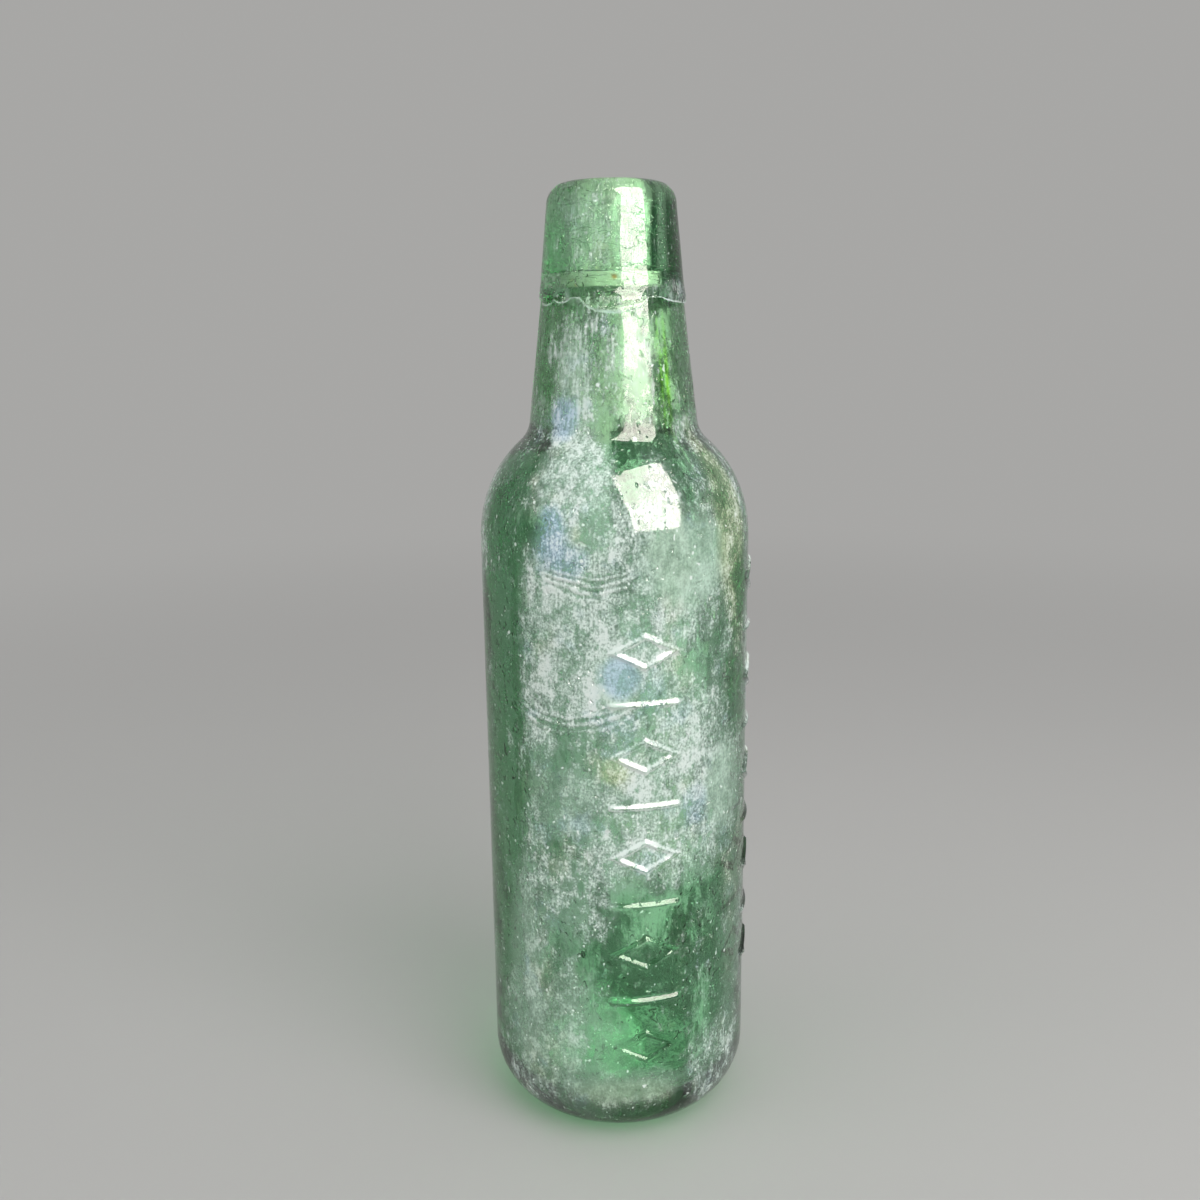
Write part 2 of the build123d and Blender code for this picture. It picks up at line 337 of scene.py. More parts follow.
def blownBody():
    shoulderCentre, shoulderEnd, filletCentre, neckStart = shoulderCurve(
        body["radius"], body["shoulder"], body["neckFillet"], Vector((body["neckOuter"], neckTop)))
    foot = body["radius"] - body["heel"]
    kickEdge = foot - body["footWidth"]
    kickSphere = (kickEdge**2 + body["kick"] ** 2) / (2 * body["kick"])
    inner = innerOutline()
    ledge = body["ledge"]

    section = Section("blown_body", (0, body["kick"]))
    section.arc((0, body["kick"] - kickSphere), (kickEdge, 0), 8)
    section.line((foot, 0))
    section.arc((foot, body["heel"]), (body["radius"], body["heel"]), 14)
    section.line((body["radius"], ornament["low"]), 3)
    section.line((body["radius"], ornament["high"]), 171)       # fine, for the moulded lines
    section.line((body["radius"], body["sideTop"]), 2)
    section.arc(shoulderCentre, shoulderEnd, 20)
    section.arc(filletCentre, neckStart, 6)
    section.line((body["neckOuter"], neckTop), 16)
    section.line((body["neckOuter"] - body["rimBevel"], rimTop), 2)
    section.line((lip["groove"], rimTop), 2)
    section.line((ledge, rimTop), 2)
    section.line((ledge, inner["under"]), 2)
    section.arc((ledge, inner["under"] - inner["corner"]), inner["neckPoint"], 5)
    section.line(inner["neckStart"], 16)
    section.arc(inner["filletCentre"], inner["arcEnd"], 5)
    section.arc(inner["arcCentre"], inner["sideTop"], 16)
    section.line(inner["sideBottom"], 44)
    section.arc(inner["heelCentre"], inner["humpEdge"], 13)
    section.arc(inner["humpCentre"], (0, inner["floorTop"]), 6)
    # a degree a step across the columns, and coarser between them
    piece = section.turned(((13, 13), (251, 72), (34, 34), (41, 16), (21, 21)))

    def inColumn(radius, azimuth, height):
        near = min(abs((azimuth - column["azimuth"] + 180) % 360 - 180) for column in columns)
        level = ornament["low"] < height < ornament["high"]
        return radius > wallMiddle(height) and level and near < ornament["span"]
    chooseFaces(piece, inColumn)
    bpy.ops.mesh.subdivide(number_cuts=1, ngon=False, quadcorner="INNERVERT")
    leaveAll()

    paint(piece, "mouldingAndHighlight", reliefShare)        # the scale clings to the moulded lines
    push(piece, "raised_lines", reliefShare, ornament["rise"])

    def innerShare(radius, azimuth, height):
        return 0 if radius > wallMiddle(height) else fadeEnds(height, *body["innerWaveEnds"])

    def outerShare(radius, azimuth, height):
        return fadeEnds(height, *body["outerWaveEnds"]) if radius > wallMiddle(height) else 0
    push(piece, "inner_waves", innerShare, body["innerWave"], body["innerWaveSize"])
    push(piece, "outer_waves", outerShare, body["outerWave"], body["outerWaveSize"])

    def inWall(chance):
        height = chance.uniform(*body["seedHeights"])
        wall = body["wall"] if height < body["seedNeck"] else body["seedWall"]
        depth = chance.uniform(-body["seedDepth"], body["seedDepth"]) * wall
        return around(wallMiddle(height) + depth, chance.uniform(0, 360), height)
    joinTo(piece, bubbles("body_seeds", inWall, **body["seeds"]))
    smooth(piece)
    return piece


# The laid-on lip

lip = {
    "top": 228.2,
    "overhang": 0.42,
    "roll": 0.55,
    "taper": 5.4,
    "round": 4.8,
    "mouthRound": 0.5,
    "bore": 9.4,
    "groove": 12.2,
    "grooveTop": 208.2,
    "corner": 0.4,
    "airGap": 0.03,          # to the body's glass
    "skirtStart": 0.5,       # height of the band that the runs are drawn out of
    "skirtTuck": 0.1,        # how far its lower edge is set back
    "skirtHighlight": 0.5,       # painted highlight along the runs' lower edge, as at the edge of a moulded line, where the white is fullest
    "runHalfWidth": 7.4,
    "runDrop": 3.4,
    "swell": 0.55,
    "swellFrom": 0.3,        # how far out of the neck a run starts to swell
    "swellFade": 2,
    "wave": 0.22,
    "waveSize": 13,
    "waveFade": 4,
    "waveFrom": 13.2,        # radius that the waves start outside
    "scaleFrom": 12.7,
    "seeds": {"seed": 11, "count": 26, "size": 0.5, "stretch": 2.2},
    "seedHeights": (206, 226),
    "seedMargin": 1,
}
# degrees right of the front, then shares of the half width and of the drop
lipRuns = (
    (1, 1, 1),
    (-43, 0.32, 0.3),
    (-62, 0.4, 0.45),
    (72, 1.2, 0.33),
    (139, 0.7, 0.66),
    (-128, 0.9, 0.45),
)


def runShare(azimuth):
    deepest = 0
    for middle, wide, drop in lipRuns:
        off = radians((azimuth - middle + 180) % 360 - 180) * body["neckOuter"]
        deepest = max(deepest, drop * sqrt(max(0, 1 - (off / (wide * lip["runHalfWidth"])) ** 2)))
    return deepest


def laidLip():
    gap = lip["airGap"]
    low = neckTop
    lowRadius = body["neckOuter"] + lip["overhang"]
    rollTop = low + lip["roll"]
    roundStart = lip["top"] - lip["round"]
    topRadius = lowRadius - tan(radians(lip["taper"])) * (roundStart - rollTop)
    coneTop = (body["neckOuter"] - body["rimBevel"], rimTop + gap)
    coneLow = (body["neckOuter"] + gap, low + gap)
    bore, groove = lip["bore"], lip["groove"]
    mouthEdge = lip["top"] - lip["mouthRound"]
    skirtMiddle = low - lip["skirtStart"] / 2

    section = Section("laid_lip", (groove, rimTop + gap))
    section.line(coneTop, 3)
    section.line(coneLow, 3)
    section.line((body["neckOuter"] + gap, skirtMiddle), 7)       # back of the skirt
    section.line((lowRadius - lip["skirtTuck"], skirtMiddle))
    section.line((lowRadius, rollTop), 7)
    section.line((topRadius, roundStart), 34)
    section.arc((topRadius - lip["round"], roundStart), (topRadius - lip["round"], lip["top"]), 12)
    section.line((bore + lip["mouthRound"], lip["top"]), 4)
    section.arc((bore + lip["mouthRound"], mouthEdge), (bore, mouthEdge), 4)
    lipCorner = lip["corner"]
    grooveTop = lip["grooveTop"]
    section.line((bore, grooveTop + lipCorner), 24)
    section.arc((bore + lipCorner, grooveTop + lipCorner), (bore + lipCorner, grooveTop), 4)
    section.line((groove - lipCorner, grooveTop), 2)
    section.arc((groove - lipCorner, grooveTop - lipCorner), (groove, grooveTop - lipCorner), 4)
    section.line((groove, rimTop + gap), 4)
    piece = section.turned(((180, 90), (180, 90)))

    # painted highlight: a white line along the lower edge of the runs
    def skirtHighlightShare(radius, azimuth, height):
        edge = lip["skirtHighlight"] * (1 - easing(height, skirtMiddle, low))
        return edge if radius > body["neckOuter"] else 0
    paint(piece, "mouldingAndHighlight", skirtHighlightShare)

    def skirtShare(radius, azimuth, height):
        # the band below the lip's edge is drawn down into runs
        onSkirt = 1 - easing(height, skirtMiddle, rollTop)
        return onSkirt * runShare(azimuth) if height < rollTop and radius > body["neckOuter"] else 0
    push(piece, "runs", skirtShare, -lip["runDrop"], way="Z")

    for vertex in piece.data.vertices:        # the runs lie against the widening neck
        radius, azimuth, height = roundness(vertex.co)
        if height < low:
            vertex.co.xy *= 1 + body["neckSlope"] * (low - height) / radius

    def swellShare(radius, azimuth, height):
        # each run is a drop, thickest a little above its lower end
        neck = body["neckOuter"] + body["neckSlope"] * max(0, low - height)
        if radius < neck + lip["swellFrom"] or height > low + lip["swellFade"]:
            return 0
        deep = runShare(azimuth)
        down = (low - height) / (lip["runDrop"] * deep) if deep else 0
        above = 1 - easing(height, low, low + lip["swellFade"])
        return deep * (sqrt(max(0, 1 - down**2)) if down > 0 else above)
    push(piece, "drops", swellShare, lip["swell"])

    def outerShare(radius, azimuth, height):
        return easing(height, rollTop, rollTop + lip["waveFade"]) if radius > lip["waveFrom"] else 0
    push(piece, "lip_waves", outerShare, lip["wave"], lip["waveSize"])

    def inLip(chance):
        height = chance.uniform(*lip["seedHeights"])
        outside = lowRadius - tan(radians(lip["taper"])) * (height - rollTop)
        radius = chance.uniform(groove + lip["seedMargin"], outside - lip["seedMargin"])
        return around(radius, chance.uniform(0, 360), height)
    joinTo(piece, bubbles("lip_seeds", inLip, **lip["seeds"]))
    smooth(piece)
    return piece


# The rubber ring in its groove

ring = {
    "bore": 8.4,
    "round": 0.9,
    "outerRound": 0.3,
    "clear": 0.06,        # to the glass all round
    "wear": 0.25,
    "wearSize": 2.4,
    "wearReach": 1.6,
}


def groovedRing():
    clear = ring["clear"]
    low, high = rimTop + clear, lip["grooveTop"] - clear
    outside, bore = lip["groove"] - clear, ring["bore"]
    inner, outer = ring["round"], ring["outerRound"]
    section = Section("grooved_ring", (bore + inner, low))
    section.line((outside - outer, low), 4)
    section.arc((outside - outer, low + outer), (outside, low + outer), 3)
    section.line((outside, high - outer), 6)
    section.arc((outside - outer, high - outer), (outside - outer, high), 3)
    section.line((bore + inner, high), 4)
    section.arc((bore + inner, high - inner), (bore, high - inner), 6)
    section.line((bore, low + inner), 4)
    section.arc((bore + inner, low + inner), (bore + inner, low), 6)
    piece = section.turned(((180, 60), (180, 60)))

    def worn(radius, azimuth, height):
        return 1 - easing(radius, bore, bore + ring["wearReach"])
    push(piece, "perished", worn, ring["wear"], ring["wearSize"])
    smooth(piece)
    return piece


# The loose glass marble

marble = {
    "radius": 10.0,
    "wave": 0.05,
    "waveSize": 9,
    "seeds": {"seed": 5, "count": 9, "size": 0.45, "stretch": 1.3},
    "seedReach": 0.75,        # share of the radius
}


def looseMarble():
    low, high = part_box("marble")
    middle = (low + high) / 2
    leaveAll()
    bpy.ops.mesh.primitive_ico_sphere_add(subdivisions=6, radius=marble["radius"] * mm, location=middle)
    piece = bpy.context.object
    piece.name = piece.data.name = "loose_marble"
    bpy.ops.object.transform_apply(location=True)
    push(piece, "not_quite_round", lambda *place: 1, marble["wave"], marble["waveSize"])

    def inMarble(chance):
        spread = marble["radius"] * mm * marble["seedReach"]
        off = Vector([chance.uniform(-1, 1) for axis in range(3)])
        return middle + off.normalized() * spread * off.length / sqrt(3)
    joinTo(piece, bubbles("marble_seeds", inMarble, **marble["seeds"]))
    smooth(piece, crease=60)
    return piece


# Lime bloom: thin loose films of white scale that stand just off the inside of the glass

bloom = {
    "gap": 0.09,
    "thick": 0.05,
    "low": 13.6,          # it stays off the floor that the marble lies on
    "lipLow": 209.2,
    "lipHigh": 227.2,
    "lipScale": 0.4,
}


def thicken(piece, thick):
    takeUp(piece)
    bpy.ops.object.modifier_add(type="SOLIDIFY")
    modifier = piece.modifiers[-1]
    modifier.thickness = thick * mm
    modifier.offset = -1
    bpy.ops.object.modifier_apply(modifier=modifier.name)
    smooth(piece)
    return piece


def bodyBloom():
    inner = innerOutline(bloom["gap"])
    heel = inner["heelCentre"]
    reach = inner["sideTop"].x - heel.x
    start = Vector((heel.x + sqrt(reach**2 - (heel.y - bloom["low"]) ** 2), bloom["low"]))
    section = Section("lime_bloom", start)
    section.arc(heel, inner["sideBottom"], 8)
    section.line(inner["sideTop"], 44)
    section.arc(inner["arcCentre"], inner["arcEnd"], 16)
    section.arc(inner["filletCentre"], inner["neckStart"], 5)
    section.line(inner["neckPoint"], 16)
    return thicken(section.turned(((180, 60), (180, 60))), bloom["thick"])


def lipBloom():
    radius = lip["bore"] - bloom["gap"]
    section = Section("bore_bloom", (radius, bloom["lipLow"]))
    section.line((radius, bloom["lipHigh"]), 12)
    return thicken(section.turned(((180, 48), (180, 48))), bloom["thick"])


# Finishes: shader sums are written as plain expressions on wires

class Wire:
    def __init__(self, finish, socket):
        self.finish = finish
        self.socket = socket

    def maths(self, operation, first, second):
        return self.finish.node("ShaderNodeMath", {"operation": operation}, {0: first, 1: second})

    def __add__(self, other):
        return self.maths("ADD", self, other)

    def __sub__(self, other):
        return self.maths("SUBTRACT", self, other)

    def __rsub__(self, other):
        return self.maths("SUBTRACT", other, self)

    def __mul__(self, other):
        return self.maths("MULTIPLY", self, other)

    def __truediv__(self, other):
        return self.maths("DIVIDE", self, other)

    def __pow__(self, other):
        return self.maths("POWER", self, other)

    __radd__ = __add__
    __rmul__ = __mul__


class Finish:
    def __init__(self, name):
        self.material = bpy.data.materials.new(name)
        self.material.use_nodes = True
        self.tree = self.material.node_tree
        self.tree.nodes.clear()
        self.place = self.node("ShaderNodeTexCoord", output="Object")

    def node(self, kind, settings=None, sockets=None, output=0):
        made = self.tree.nodes.new(kind)
        for name, value in (settings or {}).items():
            setattr(made, name, value)
        for name, value in (sockets or {}).items():
            if isinstance(value, Wire):
                self.tree.links.new(value.socket, made.inputs[name])
            else:
                made.inputs[name].default_value = value
        return Wire(self, made.outputs[output]) if made.outputs else made

    def attribute(self, name):
        return self.node("ShaderNodeAttribute", {"attribute_name": name}, output="Fac")

    def noise(self, size, tall=1.0, detail=4.0, rough=0.6, shift=0.0):
        # grains of a size in millimetres, drawn out up the bottle by tall
        grain = (1 / (size * mm), 1 / (size * mm), 1 / (size * tall * mm))
        place = self.node("ShaderNodeVectorMath", {"operation": "MULTIPLY"}, {0: self.place, 1: grain})
        return self.node("ShaderNodeTexNoise", {"noise_dimensions": "4D"},
                         {"Vector": place, "W": shift, "Scale": 1, "Detail": detail, "Roughness": rough})

    def easing(self, value, low, high):
        return self.node("ShaderNodeMapRange", {"interpolation_type": "SMOOTHSTEP"},
                         {"Value": value, "From Min": low, "From Max": high})

    def axes(self):
        # the place's x, y and height, in metres, and its radius
        split = self.node("ShaderNodeSeparateXYZ", None, {"Vector": self.place})
        outputs = split.socket.node.outputs
        x, y, z = (Wire(self, outputs[name]) for name in "XYZ")
        return x, y, z, (x * x + y * y) ** 0.5

    def blend(self, share, first, second):
        return self.node("ShaderNodeMix", {"data_type": "RGBA"}, {0: share, 6: first, 7: second}, output=2)

    def blendShaders(self, share, first, second):
        return self.node("ShaderNodeMixShader", None, {0: share, 1: first, 2: second})

    def clamp(self, value):
        return self.node("ShaderNodeClamp", None, {"Value": value})

    def coat(self, sockets):
        return self.node("ShaderNodeBsdfPrincipled", None, sockets)

    def bump(self, height, depth, normal=None):
        sockets = {"Height": height, "Strength": 1, "Distance": abs(depth) * mm}
        if normal:
            sockets["Normal"] = normal
        return self.node("ShaderNodeBump", {"invert": depth < 0}, sockets)

    def patch(self, axes, azimuth, height, wide, tall):
        # a soft round patch on the wall, which fades out at its half width in degrees and half height
        x, y, z, radius = axes
        facing = (x * sin(radians(azimuth)) - y * cos(radians(azimuth))) / radius
        across = (1 - facing) * (2 / radians(wide) ** 2)
        up = (z - height * mm) * (1 / (tall * mm))
        return self.clamp(1 - across - up * up)

    def rings(self, axes, wobble, azimuth, height, near, far, pitch):
        # shallow rings round a place on the wall, between two radii in millimetres, where they run below it
        x, y, z, radius = axes
        turn = self.node("ShaderNodeMath", {"operation": "ARCTAN2"}, {0: x, 1: 0 - y}) - radians(azimuth)
        across, down = turn * body["radius"], height - z * (1 / mm)
        away = (across * across + down * down) ** 0.5 + wobble
        middle, half = (near + far) / 2, (far - near) / 2
        off = (away - middle) * (1 / half)
        band = self.clamp(1 - off * off)
        wave = self.node("ShaderNodeMath", {"operation": "SINE"}, {0: away * (2 * pi / pitch)})
        sideways = across * (1 / (0.65 * near))
        return wave * band * self.easing(1 - sideways * sideways, 0, 0.5) * self.easing(down, 0, near)

    def done(self, surface, volume=None):
        sockets = {"Surface": surface}
        if volume:
            sockets["Volume"] = volume
        self.node("ShaderNodeOutputMaterial", None, sockets)
        return self.material


def throughGlass(finish, surface, colour, density):
    # lamps reach what is behind the glass, and its depth tints it
    lamps = finish.node("ShaderNodeLightPath", output="Is Shadow Ray")
    noGlass = finish.node("ShaderNodeBsdfTransparent")
    depth = finish.node("ShaderNodeVolumeAbsorption", None, {"Color": (*colour, 1), "Density": density})
    return finish.done(finish.blendShaders(lamps, surface, noGlass), depth)


def onFusedCone(radius, azimuth, height):
    slack, hair = 0.2, 0.01
    edge = body["neckOuter"] + neckTop
    low = neckTop + lip["airGap"] * 0.9 if radius > body["neckOuter"] else neckTop
    onCone = low < height < rimTop + slack and radius + height < edge + slack
    return onCone and radius > lip["groove"] + hair


def markFused(piece):
    # faces where the body and the lip are one glass, so that nothing shows there
    marks = piece.data.attributes.new("fused", "FLOAT", "FACE")
    for face, mark in zip(piece.data.polygons, marks.data):
        mark.value = float(onFusedCone(*roundness(face.center)))


glass = {
    "ior": 1.5,
    "smoothest": 0.02,     # roughness of clear glass, of chalk, and what milkiness adds
    "chalkRoughness": 0.1,
    "milkRoughness": 0.06,
    "ripple": 0.05,        # depths, in millimetres
    "pits": 0.22,
    "flow": 0.1,
    "flowWobble": 5,
    "neckLow": 166,        # the neck's own looks grow between these heights
    "neckHigh": 182,
    "warmTint": (0.8, 0.92, 0.5, 1),
    "body": {
        "colour": (0.0, 0.55, 0.2), "density": 66,
        "tint": (0.52, 0.69, 0.57, 1), "neckTint": (0.42, 0.6, 0.42, 1),
        "flakes": 0.78, "milk": 0.4, "scratches": 0.4, "specks": 0.8, "edgeHighlight": 0, "cracks": 0,
        "streaks": 1.0, "neckStreaks": 3.0, "etch": 0.0, "neckEtch": 0.4, "gloss": 0.8,
        # degrees right of the front, height, inner and outer radius, and spacing of each set of flow marks
        "flowMarks": ((-12, 160, 17, 23.5, 1.5), (-19, 136, 25, 31, 1.7)),
        "stainsAndShade": (        # placed as the clouds below, with the glass's tint there; the first is a streak in the glass, and the rest are painted shade
            (40, 184, 3.2, 18, 1.0, (0.25, 0.72, 0.01, 1)),
            # painted shade: the neck's left side, the body's left side and the bottom darker green
            (-74, 186, 26, 26, 0.8, (0.3, 0.62, 0.3, 1)),
            (-84, 84, 36, 90, 0.8, (0.4, 0.7, 0.42, 1)),
            (0, 0, 400, 9, 1.0, (0.26, 0.62, 0.34, 1)),
        ),
    },
    "lip": {
        "colour": (0.0, 0.66, 0.18), "density": 56,
        "tint": (0.83, 0.9, 0.82, 1), "neckTint": (0.83, 0.9, 0.82, 1),
        "flakes": 0.4, "milk": 0.12, "scratches": 0.3, "specks": 0.5, "edgeHighlight": 0.7, "cracks": 0.08,
        "streaks": 4.0, "neckStreaks": 0, "etch": 0.05, "neckEtch": 0.05, "gloss": 0.5, "flowMarks": (),
        "stainsAndShade": (
            # painted shade: the lip's right side near black green, and its top darker; the last is an orange
            # speck in the glass
            (66, 214, 21, 22, 2.0, (0.002, 0.045, 0.01, 1)),
            (0, 229, 170, 6, 1.0, (0.5, 0.62, 0.48, 1)),
            (1, 206.8, 3.0, 0.8, 0.8, (0.8, 0.4, 0.1, 1)),
        ),
    },
    "marble": {
        "colour": (0.45, 0.86, 0.6), "density": 30, "skin": (3, 1, 3), "skinDepth": 0.03,
        "polish": (1.2, 1, 4), "roughest": 0.06,
        "frost": (5, 1, 5, 0.7), "frostEdge": (0.35, 0.7), "frosted": 0.85,
        "frostTint": (0.8, 0.93, 0.82, 1), "frostRoughness": 0.35,
    },
}
plainScale, hazyScale = (0.56, 0.7, 0.63, 1), (0.5, 0.71, 0.56, 1)
scaleTints = {        # how much each tints the scale, and its colour
    "tan": (0.55, (0.68, 0.72, 0.5, 1)),
    "paleBlue": (0.4, (0.5, 0.7, 0.86, 1)),
    "blue": (0.75, (0.4, 0.59, 0.95, 1)),
    "warm": (0.8, (0.74, 0.83, 0.42, 1)),
    "thick": (0.75, (0.87, 0.94, 0.9, 1)),
}
# size in millimetres, how many times taller, detail, roughness and shift of each grain in the worn glass
grains = {
    "ripple": (4.5, 1.6, 3),
    "pit": (1.7, 1.3, 1),
    "mottle": (2.2, 1.3, 5, 0.75, 1.3),
    "fine": (0.55, 1.2, 3, 0.75, 6.1),
    "drift": (8, 1.5, 4, 0.65, 2.9),
    "streak": (0.7, 14, 4, 0.65, 4.9),
    "wobble": (12, 0.8, 2, 0.5, 3.7),
    "scratch": (0.22, 22, 3, 0.6, 7.7),
    "speck": (1.0, 1.2, 0, 0.5, 21.3),
    "crack": (9, 0.3, 3, 0.5, 8.8),
    "blue": (9, 1.2, 3, 0.6, 9.3),
    "tan": (13, 1.6, 3, 0.6, 12.7),
}
edges = {        # what each pattern shows from, and is full at
    "pit": (0.64, 0.72),
    "flakes": (0.2, 1.5),
    "milk": (-1, 0.8),
    "scratch": (0.66, 0.76),
    "scratched": (0.45, 0.6),        # the parts that are scratched
    "rim": (0.85, 1.05),
    "speck": (0.77, 0.82),
    "etch": (0.9, 1.15),
    "crack": (0, 0.012),
    "blue": (0.55, 0.68),
    "tan": (0.54, 0.7),
}
gather = {        # how much each adds to the scale
    "cloud": 0.8,
    "lineAndHighlightEdge": 0.8,
    "flow": 0.4,
    "mottle": 3.6,
    "fine": 3,
    "drift": 2.6,
}
haziness = {"hides": 0.7, "even": 0.3, "white": 0.5}        # hides is the share of the flakes


# Degrees right of the front, height, half width in degrees, half height and strength of each cloud of scale
outerClouds = (
    (-21, 163, 24, 13, 1.0),
    (-29, 178, 20, 14, 0.85),
    (4, 150, 30, 10, 0.5),
    (-6, 156, 14, 11, 0.65),
    (-12, 190, 30, 16, 0.5),
    (-38, 191, 20, 9.5, 0.5),
    (26, 194, 14, 12, 0.35),
    (-20, 142, 24, 15, 0.8),
    (-33, 122, 12, 30, 0.75),
    (-12, 122, 26, 18, 0.95),
    (20, 137, 30, 20, 0.75),
    (12, 108, 34, 20, 0.75),
    (-28, 94, 18, 20, 0.4),
    (2, 86, 30, 18, 0.8),
    (38, 92, 22, 26, 0.8),
    (14, 74, 26, 9, 0.5),
    (-18, 66, 20, 14, 0.6),
    (-37, 56, 12, 36, 0.6),
    (-23, 34, 9, 24, 0.7),
    (-38, 17, 16, 12, 0.35),
    (46, 18, 20, 14, 0.72),
    # partly painted highlight: scale that whitens the shoulder's highlight
    (20, 161, 13, 9, 0.6),
    (62, 60, 14, 70, 0.35),
    (46, 132, 15, 26, 0.45),
    (60, 160, 30, 20, 0.55),
    (3, 14.5, 28, 5, 0.45),
    (-46, 24, 20, 22, 0.45),
    (-70, 172, 30, 12, 0.3),
    (108, 116, 44, 54, 0.8),
    (150, 60, 34, 44, 0.8),
    (-164, 122, 38, 44, 0.85),
    (-118, 70, 38, 48, 0.8),
    (180, 158, 44, 18, 0.6),
    (-150, 40, 34, 34, 0.7),
    (122, 28, 34, 18, 0.5),
    (-92, 150, 30, 22, 0.6),
    (170, 186, 60, 22, 0.5),
)
siltClouds = ((0, 8.6, 400, 3.4, 0.95),)        # on the inside, in the hollow round the floor
blueClouds = (
    (-27, 151, 9, 8, 0.9),
    (-19, 146, 9, 5, 0.7),
    (-36, 176, 14, 6, 0.7),
    (1, 120, 9, 6, 0.65),
    (33, 88, 8, 6, 0.4),
)
warmClouds = (
    (57, 152, 13, 26, 0.7),
    (62, 136, 8, 18, 0.5),
    (-2, 98, 7, 4, 0.6),
    (3, 14.5, 28, 5, 0.2),
)
hazeClouds = (        # smooth and without flakes
    (30, 146, 24, 13, 0.85),
    (52, 90, 16, 13, 0.7),
    (0, 119, 10, 8, 0.5),
    (3, 17, 30, 5, 0.8),
    (-45, 42, 12, 34, 0.5),
    (-18, 26, 26, 22, 0.45),
    (-24, 90, 18, 11, 0.4),
    (-30, 184, 16, 14, 0.4),
    (130, 80, 40, 40, 0.5),
    (-130, 130, 40, 40, 0.5),
)
lipClouds = (
    (-8, 218, 40, 13, 0.7),
    (0, 229, 400, 3, 0.2),
    (60, 203, 50, 4, 0.8),
    (150, 216, 60, 14, 0.7),
    (-120, 212, 40, 12, 0.55),
)


def cloudShare(clouds, onSurface):
    # how thick the scale is at a place: soft oval clouds that gather where they overlap
    def share(radius, azimuth, height):
        bare = 1
        for middle, level, wide, tall, strength in clouds if onSurface(radius, height) else ():
            across = ((azimuth - middle + 180) % 360 - 180) / wide
            bare *= 1 - strength * min(1, 1.6 * max(0, 1 - across**2 - ((height - level) / tall) ** 2))
        return 1 - bare
    return share


